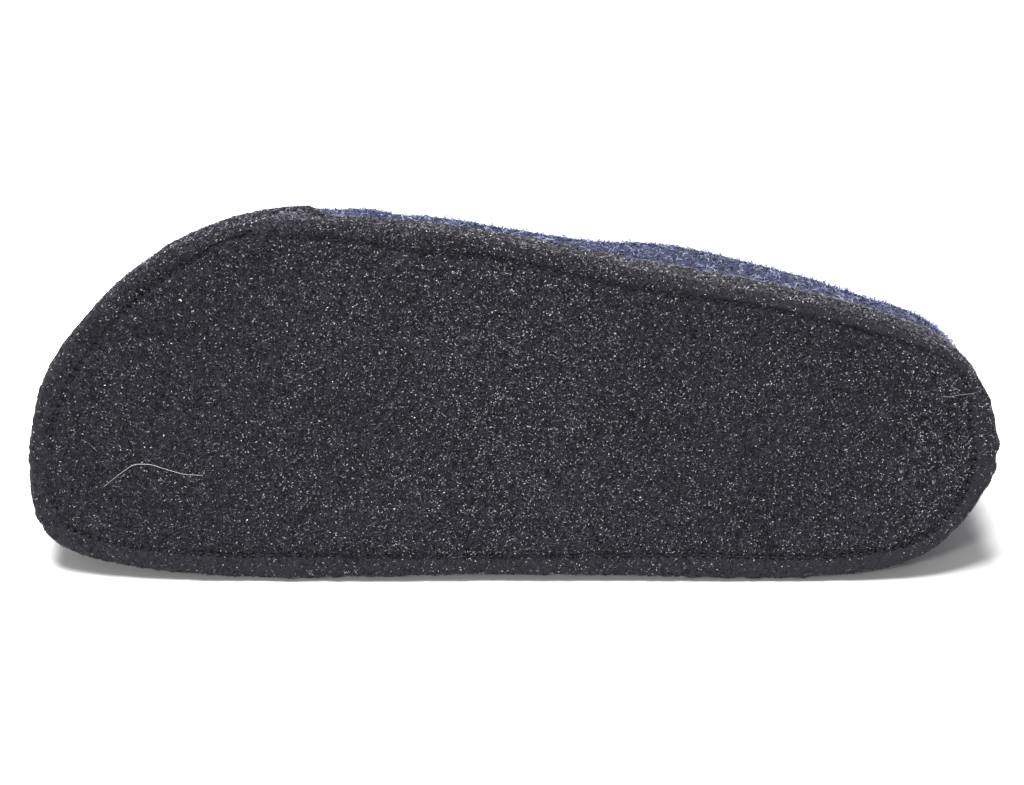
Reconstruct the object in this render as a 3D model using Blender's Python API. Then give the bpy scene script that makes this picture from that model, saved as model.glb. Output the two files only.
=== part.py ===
"""Felt slipper for the left foot, lying on its medial side with the sole towards the viewer. Metres, Z up."""

import math

import bpy
import numpy as np
from mathutils import Matrix

# Main sizes of the shoe
LENGTH = 0.274
BALL_WIDTH = 0.105
INSTEP_HEIGHT = 0.063
HEEL_HEIGHT = 0.050
TOE_SPRING = 0.004

# Thickness of each felt
OUTSOLE_THICKNESS = 0.005
INSOLE_THICKNESS = 0.0055
UPPER_WALL = 0.003
RAND_WALL = 0.0018
GUARD_WALL = 0.0016

# Heights of the two bands above the top of the outsole
RAND_HEIGHT = 0.009
GUARD_HEIGHT = 0.024

# Outsole edge, how far it stands out past the rand, and its stitched groove
EDGE_ROUNDING = 0.0024
SOLE_STEP = 0.0010
RIM_WIDTH = 0.0050
GROOVE_WIDTH = 0.0016
GROOVE_DEPTH = 0.0011

# Shape of the upper and the insole
UPPER_BULGE = 0.0022
BULGE_HEIGHT = 0.018
RIM_CROWN = 0.0009
INSOLE_DISH = 0.0015
INSOLE_BORDER = 0.014
SPRING_START = 0.80

# Space between two pieces that meet
GAP = 0.0003

# Points along one side of every loop, and loops from sole to collar
SIDE_POINTS = 40
UPPER_LOOPS = 13
RAND_LOOPS = 5
GUARD_LOOPS = 9

# Sole outline: along is a share of the length from the heel, the others are shares of the ball width
OUTLINE_COLUMNS = ("along", "lateral", "medial")
OUTLINE = (
    (0.000, -0.006, -0.006),
    (0.022, 0.185, -0.174),
    (0.066, 0.284, -0.298),
    (0.127, 0.346, -0.358),
    (0.237, 0.417, -0.381),
    (0.357, 0.475, -0.377),
    (0.503, 0.554, -0.376),
    (0.601, 0.593, -0.381),
    (0.714, 0.615, -0.390),
    (0.786, 0.594, -0.387),
    (0.844, 0.537, -0.377),
    (0.905, 0.424, -0.361),
    (0.952, 0.287, -0.331),
    (0.984, 0.144, -0.275),
    (1.000, -0.110, -0.110),
)

# The upper from sole to collar, for the rays that start at each share of the length.
# The collar columns say where a ray ends: shares of the length and of the ball width, and the
# share of the climb from heel height to instep height. The rest bend the ray: knee is how far it
# climbs upright, and shoulder_in and shoulder_up are where it turns over towards the collar.
UPPER_COLUMNS = (
    "along",
    "collar_along",
    "collar_lateral",
    "collar_medial",
    "collar_rise",
    "knee",
    "shoulder_in",
    "shoulder_up",
)
UPPER = (
    (0.000, 0.026, -0.012, -0.012, 0.00, 0.36, 0.30, 0.70),
    (0.022, 0.036, 0.130, -0.142, -0.02, 0.36, 0.30, 0.70),
    (0.066, 0.068, 0.215, -0.248, -0.12, 0.36, 0.30, 0.70),
    (0.127, 0.125, 0.272, -0.292, -0.28, 0.36, 0.30, 0.70),
    (0.237, 0.225, 0.350, -0.306, -0.34, 0.36, 0.30, 0.70),
    (0.357, 0.325, 0.398, -0.300, 0.02, 0.36, 0.32, 0.72),
    (0.450, 0.378, 0.362, -0.270, 0.38, 0.40, 0.34, 0.80),
    (0.560, 0.416, 0.268, -0.205, 0.68, 0.46, 0.32, 0.80),
    (0.714, 0.442, 0.165, -0.112, 0.88, 0.52, 0.30, 0.74),
    (0.860, 0.453, 0.085, -0.030, 0.97, 0.54, 0.29, 0.64),
    (1.000, 0.456, 0.030, 0.030, 1.00, 0.54, 0.28, 0.60),
)

# Bulge of the upper over the rand, and the bands' heights as shares, by side
BAND_COLUMNS = ("along", "bulge_lateral", "bulge_medial", "rand", "guard")
BANDS = (
    (0.000, 0.20, 0.20, 1.00, 0.40),
    (0.150, 0.70, -0.45, 1.00, 0.40),
    (0.300, 0.90, -0.55, 1.00, 0.40),
    (0.460, 0.80, -0.55, 1.00, 0.40),
    (0.600, 1.10, -0.55, 1.00, 0.42),
    (0.680, 1.25, -0.55, 0.94, 0.60),
    (0.735, 1.25, -0.48, 0.68, 0.84),
    (0.800, 1.15, -0.30, 0.43, 0.95),
    (0.870, 0.95, 0.15, 0.34, 0.99),
    (1.000, 0.80, 0.80, 0.32, 1.00),
)
GUARD_START = 0.690

# Rounded edges: share in from the edge, and share of the rounding's height
ROUNDING_COLUMNS = ("inward", "height")
ROUNDING = ((1.00, 0.00), (0.52, 0.12), (0.16, 0.45), (0.00, 1.00))

# Cross-section of a band: share of its height, and share of its thickness
BAND_EDGE_COLUMNS = ("height", "thickness")
BAND_EDGE = ((0.00, 1.00), (0.35, 1.04), (0.72, 1.00), (0.92, 0.72), (1.00, 0.30))


def column(table, columns, name):
    place = columns.index(name)
    return np.array([row[place] for row in table])


def clear_scene():
    for obj in list(bpy.data.objects):
        bpy.data.objects.remove(obj, do_unlink=True)
    for mesh in list(bpy.data.meshes):
        bpy.data.meshes.remove(mesh)
    for material in list(bpy.data.materials):
        bpy.data.materials.remove(material)


def closed_spline(angles, values, wanted):
    """Smooth closed curve through the values, from its second derivative at each angle."""
    count = len(angles)
    step = np.diff(np.append(angles, angles[0] + 2 * math.pi))
    slope = np.diff(np.append(values, values[0])) / step
    system = np.zeros((count, count))
    for k in range(count):
        system[k, k - 1] += step[k - 1]
        system[k, k] += 2 * (step[k - 1] + step[k])
        system[k, (k + 1) % count] += step[k]
    bend = np.linalg.solve(system, 6 * (slope - np.roll(slope, 1)))
    k = np.searchsorted(angles, wanted, side="right") - 1
    after = (k + 1) % count
    past = wanted - angles[k]
    left = step[k] - past
    curved = (bend[k] * left**3 + bend[after] * past**3) / (6 * step[k])
    straight = (values[k] / step[k] - bend[k] * step[k] / 6) * left
    return curved + straight + (values[after] / step[k] - bend[after] * step[k] / 6) * past


def around(table, columns, lateral, medial):
    """One value for each point of a loop: out along the lateral side, back along the medial side."""
    angle = np.arccos(1 - 2 * column(table, columns, "along"))
    out = column(table, columns, lateral)
    back = column(table, columns, medial)
    angles = np.concatenate([angle, 2 * math.pi - angle[-2:0:-1]])
    values = np.concatenate([out, back[-2:0:-1]])
    return closed_spline(angles, values, loop_angles())


def loop_angles():
    """Zero at the heel tip and a half turn at the toe tip, so that points gather at both ends."""
    return np.arange(2 * SIDE_POINTS) * math.pi / SIDE_POINTS


def along_share():
    return (1 - np.cos(loop_angles())) / 2


def outline():
    across = around(OUTLINE, OUTLINE_COLUMNS, "lateral", "medial")
    return np.stack([along_share() * LENGTH, across * BALL_WIDTH], axis=1)


def outward(loop):
    """Unit normals of a flat loop, pointing out."""
    ahead = np.roll(loop, -1, axis=0) - np.roll(loop, 1, axis=0)
    normal = np.stack([-ahead[:, 1], ahead[:, 0]], axis=1)
    return normal / np.linalg.norm(normal, axis=1, keepdims=True)


def moved_in(loop, distance, height):
    """A loop moved inwards and set at one height above the ground."""
    flat = loop[:, :2]
    moved = flat - outward(flat) * distance
    return np.column_stack([moved, np.full(len(moved), height)])


def inset(distance, height):
    """The same for the sole's outline."""
    return moved_in(outline(), distance, height)


def sprung(points):
    """Lifts the points in front of the ball by the toe spring."""
    ahead = np.clip((points[..., 0] / LENGTH - SPRING_START) / (1 - SPRING_START), 0, None)
    lifted = points.copy()
    lifted[..., 2] += TOE_SPRING * ahead**2
    return lifted


def bezier(share, first, second, third, fourth):
    left = 1 - share
    middle = 3 * left * share * (left * second + share * third)
    return left**3 * first + middle + share**3 * fourth


def upper_start():
    """Height of the lower edge of the upper."""
    return OUTSOLE_THICKNESS + GAP


def upper_inset():
    """How far the lower edge of the upper stays inside the outline."""
    return SOLE_STEP + RAND_WALL + GAP


def upper_point(share):
    """Outer face of the upper on every ray, where share is 0 at the sole and 1 at the collar."""
    base = inset(upper_inset(), upper_start())
    climb = around(UPPER, UPPER_COLUMNS, "collar_rise", "collar_rise")
    collar = np.stack(
        [
            around(UPPER, UPPER_COLUMNS, "collar_along", "collar_along") * LENGTH,
            around(UPPER, UPPER_COLUMNS, "collar_lateral", "collar_medial") * BALL_WIDTH,
            HEEL_HEIGHT + climb * (INSTEP_HEIGHT - HEEL_HEIGHT),
        ],
        axis=1,
    )
    knee = around(UPPER, UPPER_COLUMNS, "knee", "knee")
    shoulder_in = around(UPPER, UPPER_COLUMNS, "shoulder_in", "shoulder_in")
    shoulder_up = around(UPPER, UPPER_COLUMNS, "shoulder_up", "shoulder_up")
    way_in = bezier(share, 0, 0, shoulder_in, 1)
    way_up = bezier(share, 0, knee, shoulder_up, 1)
    rise = way_up * (collar[:, 2] - base[:, 2])
    bulge = around(BANDS, BAND_COLUMNS, "bulge_lateral", "bulge_medial") * UPPER_BULGE
    swell = bulge * rise / BULGE_HEIGHT * np.exp(1 - rise / BULGE_HEIGHT)
    plan = base[:, :2] + (collar[:, :2] - base[:, :2]) * way_in[:, None]
    plan = plan + outward(base[:, :2]) * swell[:, None]
    return np.column_stack([plan, base[:, 2] + rise])


def upper_normal(share):
    """Unit normals of the upper on every ray, pointing out of the shoe."""
    small = 1e-3
    below = upper_point(np.clip(share - small, 0, 1))
    above = upper_point(np.clip(share + small, 0, 1))
    here = upper_point(share)
    ahead = np.roll(here, -1, axis=0) - np.roll(here, 1, axis=0)
    normal = np.cross(above - below, ahead)
    return normal / np.linalg.norm(normal, axis=1, keepdims=True)


def share_at(height):
    """How far up each ray reaches a height above the ground."""
    low = np.zeros(2 * SIDE_POINTS)
    high = np.ones(2 * SIDE_POINTS)
    for _ in range(40):
        middle = (low + high) / 2
        under = upper_point(middle)[:, 2] < height
        low = np.where(under, middle, low)
        high = np.where(under, high, middle)
    return (low + high) / 2


def on_upper(height, distance):
    """A loop at the given heights, this far out from the face of the upper."""
    share = share_at(height)
    return upper_point(share) + upper_normal(share) * np.reshape(distance, (-1, 1))


def quads_between(first, second, count):
    """Faces that join two loops of the same length."""
    faces = []
    for k in range(count):
        after = (k + 1) % count
        faces.append((first + k, second + k, second + after, first + after))
    return faces


def cap(first, count, facing_up):
    """Faces across a loop, from each lateral point to the medial point beside it."""
    half = count // 2
    faces = [(first, first + 1, first + count - 1)]
    for k in range(1, half - 1):
        faces.append((first + k, first + k + 1, first + count - k - 1, first + count - k))
    faces.append((first + half - 1, first + half, first + half + 1))
    return [face[::-1] for face in faces] if facing_up else faces


def felt(name, colour, roughness):
    material = bpy.data.materials.new(name)
    material.use_nodes = True
    shader = material.node_tree.nodes["Principled BSDF"]
    shader.inputs["Base Color"].default_value = (*colour, 1)
    shader.inputs["Roughness"].default_value = roughness
    return material


def solid(name, points, faces, material, place, collection):
    mesh = bpy.data.meshes.new(name)
    mesh.from_pydata(points.tolist(), [], faces)
    mesh.update()
    mesh.materials.append(material)
    piece = bpy.data.objects.new(name, mesh)
    piece.matrix_world = place
    collection.objects.link(piece)
    return piece


def ring_shape(loops):
    """Points and faces of a closed ring whose cross-section is the list of loops."""
    count = len(loops[0])
    faces = []
    for k in range(len(loops)):
        faces += quads_between(k * count, (k + 1) % len(loops) * count, count)
    return sprung(np.concatenate(loops)), faces


def slab_shape(loops):
    """Points and faces of a slab: a cap below, the loops from below to above, and a cap above."""
    count = len(loops[0])
    faces = cap(0, count, False)
    for k in range(len(loops) - 1):
        faces += quads_between(k * count, (k + 1) * count, count)
    faces += cap((len(loops) - 1) * count, count, True)
    return sprung(np.concatenate(loops)), faces


def outsole_shape():
    loops = [
        inset(RIM_WIDTH + GROOVE_WIDTH, 0),
        inset(RIM_WIDTH + GROOVE_WIDTH * 0.65, GROOVE_DEPTH),
        inset(RIM_WIDTH + GROOVE_WIDTH * 0.35, GROOVE_DEPTH),
        inset(RIM_WIDTH, 0),
    ]
    for inward, height in ROUNDING:
        loops.append(inset(inward * EDGE_ROUNDING, height * EDGE_ROUNDING))
    loops.append(inset(0, OUTSOLE_THICKNESS))
    return slab_shape(loops)


def insole_shape():
    """A footbed that follows the inside of the upper, rounded at its edge and dished in its middle."""
    bottom = OUTSOLE_THICKNESS + GAP
    top = bottom + INSOLE_THICKNESS
    rounding = INSOLE_THICKNESS / 4
    inside = -UPPER_WALL - 2 * GAP
    foot = on_upper(bottom, inside)
    shoulder = on_upper(top - rounding, inside)
    loops = [
        moved_in(foot, 0, bottom),
        moved_in(shoulder, 0, top - rounding),
        moved_in(shoulder, rounding, top),
        moved_in(shoulder, INSOLE_BORDER / 2, top - INSOLE_DISH * 0.6),
        moved_in(shoulder, INSOLE_BORDER, top - INSOLE_DISH),
    ]
    return slab_shape(loops)


def upper_shape():
    steps = np.linspace(0, 1, UPPER_LOOPS)
    outer = []
    inner = []
    for step in steps:
        share = np.full(2 * SIDE_POINTS, step)
        face = upper_point(share)
        outer.append(face)
        inner.append(face - upper_normal(share) * UPPER_WALL)
    inner[0][:, 2] = upper_start()
    crown = (outer[-1] + inner[-1]) / 2
    crown[:, 2] += RIM_CROWN
    return ring_shape(outer + [crown] + inner[::-1])


def rand_top():
    share = around(BANDS, BAND_COLUMNS, "rand", "rand")
    return upper_start() + RAND_HEIGHT * share


def guard_top():
    share = around(BANDS, BAND_COLUMNS, "guard", "guard")
    return upper_start() + GUARD_HEIGHT * share


def band_loops(low, high, wall, count):
    """Cross-section of a band on the upper: out along its face, back along its inner side."""
    heights = column(BAND_EDGE, BAND_EDGE_COLUMNS, "height")
    thicknesses = column(BAND_EDGE, BAND_EDGE_COLUMNS, "thickness")
    outer = []
    inner = []
    for k in range(count):
        height = math.sin(math.pi / 2 * k / (count - 1))
        level = low + (high - low) * height
        thickness = np.interp(height, heights, thicknesses)
        outer.append(on_upper(level, GAP + wall * thickness))
        inner.append(on_upper(level, GAP))
    return outer, inner[::-1]


def rand_shape():
    low = np.full(2 * SIDE_POINTS, upper_start())
    outer, inner = band_loops(low, rand_top(), RAND_WALL, RAND_LOOPS)
    for loop in (outer[0], inner[-1]):
        loop[:, 2] = upper_start()
    return ring_shape(outer + inner)


def guard_shape():
    """The part of a band above the rand that lies in front of the guard's start."""
    outer, inner = band_loops(rand_top() + GAP, guard_top(), GUARD_WALL, GUARD_LOOPS)
    kept = np.flatnonzero(along_share() > GUARD_START)
    loops = [loop[kept] for loop in outer + inner]
    count = len(kept)
    faces = []
    for k in range(len(loops)):
        following = (k + 1) % len(loops) * count
        for j in range(count - 1):
            faces.append((k * count + j, following + j, following + j + 1, k * count + j + 1))
    faces.append(tuple(k * count for k in range(len(loops)))[::-1])
    faces.append(tuple(k * count + count - 1 for k in range(len(loops))))
    return sprung(np.concatenate(loops)), faces


def reach(points, turn, lean):
    """Height of each point once the shoe is turned in the plane of its sole and leant back."""
    across = points[:, 1] * math.cos(turn) + points[:, 0] * math.sin(turn)
    return across * math.cos(lean) - points[:, 2] * math.sin(lean)


def halved(low, high, is_below):
    """The value between low and high up to which is_below holds."""
    for _ in range(40):
        middle = (low + high) / 2
        if is_below(middle):
            low = middle
        else:
            high = middle
    return (low + high) / 2


def resting_angles(shapes):
    """Turn and lean at which the sole's edge at heel and ball and the collar all touch the floor."""
    edge = np.concatenate([shapes[name][0] for name in ("outsole", "rand", "toe_guard")])
    heel = edge[edge[:, 0] < LENGTH / 2]
    ball = edge[edge[:, 0] >= LENGTH / 2]
    upper = shapes["upper"][0]
    collar = upper[upper[:, 2] > HEEL_HEIGHT / 2]
    turn = 0.0
    lean = 0.0
    for _ in range(8):
        turn = halved(-0.2, 0.2, lambda t: reach(heel, t, lean).min() > reach(ball, t, lean).min())
        lean = halved(0.0, 0.6, lambda t: reach(collar, turn, t).min() > reach(edge, turn, t).min())
    return turn, lean


def lying_down(shapes):
    """Places the shoe on its medial side, toe to -X and sole to -Y, centred on the origin."""
    turn, lean = resting_angles(shapes)
    onto_side = Matrix(((-1, 0, 0), (0, 0, 1), (0, 1, 0))).to_4x4()
    place = Matrix.Rotation(-lean, 4, "X") @ onto_side @ Matrix.Rotation(turn, 4, "Z")
    points = np.concatenate([shape[0] for shape in shapes.values()])
    laid = points @ np.array(place.to_3x3()).T
    low = laid.min(axis=0)
    high = laid.max(axis=0)
    centre = (low + high) / 2
    return Matrix.Translation((-centre[0], -centre[1], -low[2])) @ place


def main():
    clear_scene()
    scene = bpy.context.scene
    collection = bpy.data.collections.new("felt_slipper")
    scene.collection.children.link(collection)
    shapes = {
        "outsole": outsole_shape(),
        "rand": rand_shape(),
        "toe_guard": guard_shape(),
        "upper": upper_shape(),
        "insole": insole_shape(),
    }
    sole_felt = felt("charcoal_needle_felt", (0.040, 0.038, 0.047), 0.85)
    rand_felt = felt("charcoal_rand_felt", (0.060, 0.058, 0.068), 0.9)
    guard_felt = felt("charcoal_guard_felt", (0.060, 0.058, 0.068), 0.9)
    wool = felt("blue_wool_felt", (0.075, 0.085, 0.20), 0.95)
    bed = felt("grey_footbed_felt", (0.19, 0.19, 0.20), 0.95)
    materials = {
        "outsole": sole_felt,
        "rand": rand_felt,
        "toe_guard": guard_felt,
        "upper": wool,
        "insole": bed,
    }
    place = lying_down(shapes)
    for name, (points, faces) in shapes.items():
        solid(name, points, faces, materials[name], place, collection)


main()
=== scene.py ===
import math

import bpy
import numpy as np
from mathutils import Matrix, Vector


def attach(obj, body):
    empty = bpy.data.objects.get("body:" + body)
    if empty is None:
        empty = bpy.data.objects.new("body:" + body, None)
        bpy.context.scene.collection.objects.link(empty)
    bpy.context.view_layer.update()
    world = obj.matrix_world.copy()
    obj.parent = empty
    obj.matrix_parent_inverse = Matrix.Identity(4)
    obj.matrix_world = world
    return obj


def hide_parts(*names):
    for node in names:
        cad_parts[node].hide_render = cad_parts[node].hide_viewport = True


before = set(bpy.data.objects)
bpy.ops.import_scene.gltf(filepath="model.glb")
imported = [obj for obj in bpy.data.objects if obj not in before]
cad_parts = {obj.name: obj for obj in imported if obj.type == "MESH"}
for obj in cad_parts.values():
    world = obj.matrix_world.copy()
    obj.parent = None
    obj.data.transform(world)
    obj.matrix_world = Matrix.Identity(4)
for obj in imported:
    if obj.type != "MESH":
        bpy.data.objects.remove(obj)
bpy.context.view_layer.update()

MM = 0.001


def by_columns(names, *rows):
    """The columns of a table as arrays, by their names."""
    return dict(zip(names, np.array(rows).T))


# How the shoe lies: turned in the plane of its sole, leant back and shifted
TURN = math.radians(0.434658)
LEAN = math.radians(11.483445)
SHIFT = (0.137042, -0.028344, 0.039716)

# Main sizes of the shoe
LENGTH = 274.0 * MM
BALL_WIDTH = 105.0 * MM
INSTEP_HEIGHT = 63.0 * MM
HEEL_HEIGHT = 50.0 * MM
TOE_SPRING = 4.0 * MM
OUTSOLE_THICKNESS = 5.0 * MM
INSOLE_THICKNESS = 5.5 * MM
UPPER_WALL = 3.0 * MM
RAND_WALL = 1.8 * MM
GUARD_WALL = 1.6 * MM
RAND_HEIGHT = 9.0 * MM
GUARD_HEIGHT = 24.0 * MM
EDGE_ROUNDING = 2.4 * MM
SOLE_STEP = 1.0 * MM
UPPER_BULGE = 2.2 * MM
BULGE_HEIGHT = 18.0 * MM
INSOLE_DISH = 1.5 * MM
SPRING_START = 0.80
GUARD_START = 0.69
GAP = 0.3 * MM

# Where the toe guard has its full height, and how soon it gets there
GUARD_FULL = 0.72
GUARD_RAMP = 0.035

# Pitch of the sewn stitches, and the height and reach of the wool's swell on the lateral side
STITCH = 2.5 * MM
THREAD_RADIUS = 0.22 * MM
PUFF_HEIGHT = 28.0 * MM
PUFF_REACH = 11.0 * MM

OUTLINE = by_columns(
    ("along", "lateral", "medial"),
    (0.000, -0.006, -0.006),
    (0.022, 0.185, -0.174),
    (0.066, 0.284, -0.298),
    (0.127, 0.346, -0.358),
    (0.237, 0.417, -0.381),
    (0.357, 0.475, -0.377),
    (0.503, 0.554, -0.376),
    (0.601, 0.593, -0.381),
    (0.714, 0.615, -0.390),
    (0.786, 0.594, -0.387),
    (0.844, 0.537, -0.377),
    (0.905, 0.424, -0.361),
    (0.952, 0.287, -0.331),
    (0.984, 0.144, -0.275),
    (1.000, -0.110, -0.110),
)
UPPER = by_columns(
    ("along", "collar_along", "collar_lateral", "collar_medial", "collar_rise", "knee",
     "shoulder_in", "shoulder_up"),
    (0.000, 0.026, -0.012, -0.012, 0.00, 0.36, 0.30, 0.70),
    (0.022, 0.036, 0.130, -0.142, -0.02, 0.36, 0.30, 0.70),
    (0.066, 0.068, 0.215, -0.248, -0.12, 0.36, 0.30, 0.70),
    (0.127, 0.125, 0.272, -0.292, -0.28, 0.36, 0.30, 0.70),
    (0.237, 0.225, 0.350, -0.306, -0.34, 0.36, 0.30, 0.70),
    (0.357, 0.325, 0.398, -0.300, 0.02, 0.36, 0.32, 0.72),
    (0.450, 0.378, 0.362, -0.270, 0.38, 0.40, 0.34, 0.80),
    (0.560, 0.416, 0.268, -0.205, 0.68, 0.46, 0.32, 0.80),
    (0.714, 0.442, 0.165, -0.112, 0.88, 0.52, 0.30, 0.74),
    (0.860, 0.453, 0.085, -0.030, 0.97, 0.54, 0.29, 0.64),
    (1.000, 0.456, 0.030, 0.030, 1.00, 0.54, 0.28, 0.60),
)
BANDS = by_columns(
    ("along", "bulge_lateral", "bulge_medial", "rand", "guard"),
    (0.000, 0.20, 0.20, 1.00, 0.40),
    (0.150, 0.70, -0.45, 1.00, 0.40),
    (0.300, 0.90, -0.55, 1.00, 0.40),
    (0.460, 0.80, -0.55, 1.00, 0.40),
    (0.600, 1.10, -0.55, 1.00, 0.42),
    (0.680, 1.25, -0.55, 0.94, 0.60),
    (0.735, 1.25, -0.48, 0.68, 0.84),
    (0.800, 1.15, -0.30, 0.43, 0.95),
    (0.870, 0.95, 0.15, 0.34, 0.99),
    (1.000, 0.80, 0.80, 0.32, 1.00),
)
BAND_EDGE = by_columns(
    ("height", "thickness"),
    (0.00, 0.92), (0.10, 1.00), (0.35, 1.04), (0.72, 1.00), (0.90, 0.76), (1.00, 0.25),
)

# The seam sewn through the sole: how far it runs in from the edge in millimetres, how deep the
# felt is drawn in along it, and how deep its stitch holes are
SEAM = by_columns(
    ("along", "inset_lateral", "inset_medial", "trough_lateral", "trough_medial",
     "holes_lateral", "holes_medial"),
    (0.000, 7.2, 7.2, 0.40, 0.40, 0.80, 0.80),
    (0.008, 6.8, 6.2, 0.45, 0.35, 0.80, 0.80),
    (0.022, 3.6, 5.4, 0.60, 0.30, 0.60, 0.80),
    (0.040, 2.1, 5.2, 0.80, 0.25, 0.45, 0.80),
    (0.061, 1.9, 5.3, 0.90, 0.30, 0.35, 1.00),
    (0.091, 2.4, 5.8, 0.95, 0.30, 0.35, 1.00),
    (0.168, 3.2, 6.8, 0.95, 0.30, 0.35, 1.00),
    (0.243, 3.1, 7.2, 0.85, 0.30, 0.35, 1.00),
    (0.361, 4.2, 7.0, 0.75, 0.30, 0.35, 1.00),
    (0.426, 4.4, 6.6, 0.65, 0.30, 0.35, 1.00),
    (0.504, 3.9, 6.1, 0.80, 0.30, 0.35, 1.00),
    (0.612, 5.0, 6.5, 0.90, 0.30, 0.35, 1.00),
    (0.669, 4.8, 7.1, 0.90, 0.30, 0.35, 1.00),
    (0.718, 3.9, 7.4, 0.80, 0.30, 0.20, 1.00),
    (0.750, 2.9, 7.2, 0.40, 0.30, 0.00, 1.00),
    (0.785, 2.4, 7.0, 0.30, 0.30, 0.85, 1.00),
    (0.847, 5.0, 6.7, 0.45, 0.30, 0.95, 1.00),
    (0.889, 5.7, 6.8, 0.45, 0.25, 0.95, 0.80),
    (0.958, 7.0, 7.1, 0.40, 0.30, 0.80, 0.80),
    (0.985, 6.6, 7.0, 0.35, 0.30, 0.70, 0.75),
    (1.000, 6.4, 6.4, 0.35, 0.35, 0.70, 0.70),
)
# The section of the sewn groove: shares of its depth, each with its width in millimetres, then the
# width of its holes, and how near the seam the mesh is finest and how far in its loops go
GROOVE = ((0.45, 0.9), (0.55, 2.4))
HOLE_WIDTH = 0.65
FINE_ZONE = 1.7
LOOP_ZONE = 6.0
# The loops along which the stitches of the seam and of the second row are counted
SEAM_GUIDE = 5.0 * MM
SECOND_GUIDE = 2.0 * MM
# The share of each stitch that shows its thread, and how deep four places along it lie
STITCH_SPAN = (0.18, 0.82)
STITCH_DEPTHS = np.array([0.60, -0.02, -0.02, 0.60]) * MM
# How much the sole's ragged edge is trimmed, in millimetres, and how far in its upper face starts
RAGGED_TRIM = 0.12
LIP = 0.9 * MM

# Where the toe cap's seam climbs over the lateral edge, its height and width in millimetres,
# how deep it and its holes go, where it and its thread begin and end, where the sole's own thread
# makes room for it, and the pitch, length, radius and depths of its stitches
CLIMB = by_columns(
    ("along", "height"),
    (0.690, 12.0), (0.711, 9.0), (0.738, 5.5), (0.751, 3.0), (0.765, 0.8), (0.785, -1.5),
)
CLIMB_WIDTH = 0.75
CLIMB_TROUGH = 0.55
CLIMB_HOLES = 0.75
CLIMB_ENDS = (0.690, 0.780)
CAP_THREAD_ENDS = (0.694, 0.778)
CROSSING_ENDS = (0.70, 0.79)
CAP_STITCH = {"pitch": 2.9 * MM, "length": 1.7 * MM, "radius": 0.34 * MM}
CAP_STITCH_DEPTHS = np.array([0.25, -0.05, -0.05, 0.25])[:, None] * MM

# The lateral side seen in the photograph, in millimetres and shares: how far the wool puffs out,
# how far the rand's top edge dips, and how square and how thin the bands are left there
SIDE = by_columns(
    ("along", "puff", "dip", "square", "thin"),
    (0.000, 0.0, 0.0, 0.2, 0.0),
    (0.060, 0.0, 0.0, 0.9, 0.0),
    (0.127, 0.2, 0.0, 0.9, 0.0),
    (0.189, 1.4, 0.0, 0.9, 0.0),
    (0.251, 2.0, 0.0, 0.9, 0.0),
    (0.313, 2.4, 0.0, 0.9, 0.0),
    (0.344, 2.9, 0.0, 0.9, 0.0),
    (0.376, 2.0, 0.0, 0.7, 0.0),
    (0.430, 0.8, 0.0, 0.1, 0.0),
    (0.520, 0.2, 0.2, 0.0, 0.0),
    (0.590, 0.5, 1.4, 0.0, 0.1),
    (0.650, 0.6, 2.4, 0.0, 0.3),
    (0.690, 0.2, 2.0, 0.0, 0.4),
    (0.730, 0.3, 0.6, 0.9, 0.5),
    (0.800, 0.0, 0.0, 1.0, 0.7),
    (0.900, 0.0, 0.0, 1.0, 0.4),
    (1.000, 0.0, 0.0, 1.0, 0.2),
)
# How thick the light fibres, among them the glint fibres that paint glints, stand along the sole from
# the heel end: thickest at the heel end and at the middle, thinnest at the toe
LIGHT_FIBRE_SPREAD = by_columns(
    ("along", "light_fibres"),
    (0.00, 1.80), (0.05, 1.20), (0.12, 0.75), (0.25, 0.60), (0.40, 0.85),
    (0.50, 1.00), (0.65, 0.75), (0.80, 0.50), (1.00, 0.45),
)

# A second row of stitch holes on the lateral edge, beside the seam: the shares of the length where
# it begins, is full, wanes and ends, its pitch as a share of a stitch, and its place and size in
# millimetres
SECOND_ROW = {"begins": 0.47, "full": 0.53, "wanes": 0.67, "ends": 0.71, "pitch": 0.8}
SECOND_ROW_HOLES = {"inset": 1.9, "width": 0.6, "depth": 0.7}

# Burrs of felt on the sole's edge: place and width in half turns round the outline, and height in
# millimetres
BURRS = ((0.010, 0.009, 0.45), (1.972, 0.008, 0.35), (1.52, 0.006, 0.35))

# Creases of the upper: along and up are shares of the length and of the way to the collar, side is
# 1 on the lateral side and -1 on the medial side, slant is a share of the length, and reach, width
# and depth are in millimetres
CREASE_COLUMNS = ("along", "up", "side", "slant", "reach", "width", "depth")
CREASES = (
    (0.63, 0.55, 1, 0.060, 42.0, 5.0, 1.1),
    (0.69, 0.62, 1, 0.036, 30.0, 4.0, 0.8),
    (0.60, 0.60, -1, 0.052, 40.0, 5.0, 1.1),
    (0.67, 0.66, -1, 0.032, 28.0, 4.0, 0.8),
    (0.10, 0.45, 1, -0.100, 22.0, 4.5, 0.9),
    (0.09, 0.50, -1, -0.090, 22.0, 4.5, 0.9),
)
# The way from sole to collar, how fast a crease fades along it, and the ridge beside the crease:
# its distance in widths and its height as a share of the depth
WALL_RUN = 90.0 * MM
CREASE_FADE = 2.2
RIDGE_AWAY = 1.9
RIDGE_HEIGHT = 0.55

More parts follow.
